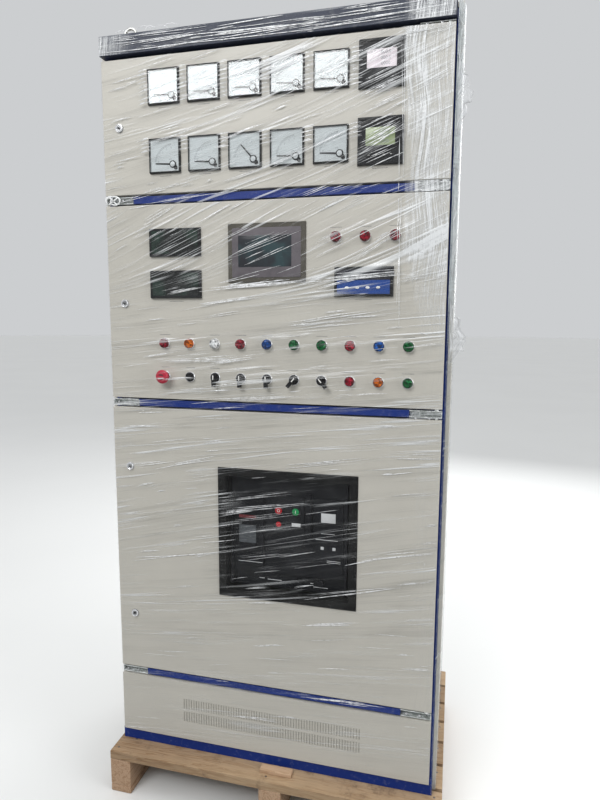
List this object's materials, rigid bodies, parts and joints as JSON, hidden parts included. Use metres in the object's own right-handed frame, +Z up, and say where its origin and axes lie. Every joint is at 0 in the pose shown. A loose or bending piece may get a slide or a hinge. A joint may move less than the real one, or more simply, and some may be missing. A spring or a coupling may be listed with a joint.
{
  "type": "hydropower control cabinet on a shipping pallet",
  "caption": "Floor-standing steel control cabinet with instrument doors, a vent panel, a header and a breaker behind a window, standing on a wooden pallet.",
  "frame": {"origin": "middle of the pallet's footprint, on the ground", "axes": "+Z up, the doors face -Y, +X to the right of someone facing the doors"},
  "size_m": [1.04, 0.73, 2.355],
  "materials": {
    "frame_blue": "satin powder coat",
    "panel_grey": "fine-textured powder coat",
    "header_slate": "satin powder coat",
    "zinc_plate": "zinc plated",
    "eye_steel": "zinc plated, forged",
    "lock_metal": "plated",
    "rail_steel": "galvanised",
    "breaker_black": "moulded",
    "surround_black": "moulded",
    "bezel_black": "moulded",
    "dial_white": "printed card",
    "display_dark": "smoked window",
    "screen_grey": "moulded",
    "red_lens": "translucent",
    "orange_lens": "translucent",
    "white_lens": "translucent",
    "blue_lens": "translucent",
    "green_lens": "translucent",
    "device_black": "moulded",
    "stop_red": "moulded",
    "knob_black": "moulded",
    "pine": "rough sawn"
  },
  "bodies": {
    "cabinet": {"base_frame": "frame_blue", "front_posts": "frame_blue", "rear_posts": "frame_blue", "top_frame": "frame_blue", "crossbeams": "frame_blue", "hinge_brackets": "zinc_plate", "left_side_panel": "panel_grey", "right_side_panel": "panel_grey", "rear_cover": "panel_grey", "roof_panel": "panel_grey", "header": "header_slate", "lifting_eyes": "eye_steel", "vent_panel": "panel_grey", "side_rails": "rail_steel", "breaker_rails": "rail_steel", "breaker_body": "breaker_black", "breaker_front": "breaker_black", "pallet_deck": "pine", "pallet_bearers": "pine", "pallet_skids": "pine", "stop_block": "pine"},
    "upper_door": {"upper_door": "panel_grey", "upper_door_lock": "lock_metal", "pointer_meters": "bezel_black", "meter_dials": "dial_white", "power_meters": "bezel_black"},
    "middle_door": {"middle_door": "panel_grey", "middle_door_lock": "lock_metal", "digital_indicators": "bezel_black", "touch_screen": "screen_grey", "display_windows": "display_dark", "speed_controller": "bezel_black", "red_lamps": "red_lens", "orange_lamps": "orange_lens", "white_lamp": "white_lens", "blue_lamps": "blue_lens", "green_lamps": "green_lens", "device_bodies": "device_black", "emergency_stop": "stop_red", "push_button": "knob_black", "selector_switches": "knob_black"},
    "lower_door": {"lower_door": "panel_grey", "lower_door_locks": "lock_metal", "breaker_surround": "surround_black"}
  },
  "joints": [
    {"name": "upper_door_hinge", "type": "hinge", "parent": "cabinet", "child": "upper_door", "pos_m": [0.466, -0.291, 2.061], "axis": [0, 0, 1], "range_deg": [0, 110]},
    {"name": "middle_door_hinge", "type": "hinge", "parent": "cabinet", "child": "middle_door", "pos_m": [0.466, -0.291, 1.564], "axis": [0, 0, 1], "range_deg": [0, 110]},
    {"name": "lower_door_hinge", "type": "hinge", "parent": "cabinet", "child": "lower_door", "pos_m": [0.466, -0.291, 0.829], "axis": [0, 0, 1], "range_deg": [0, 110]}
  ]
}
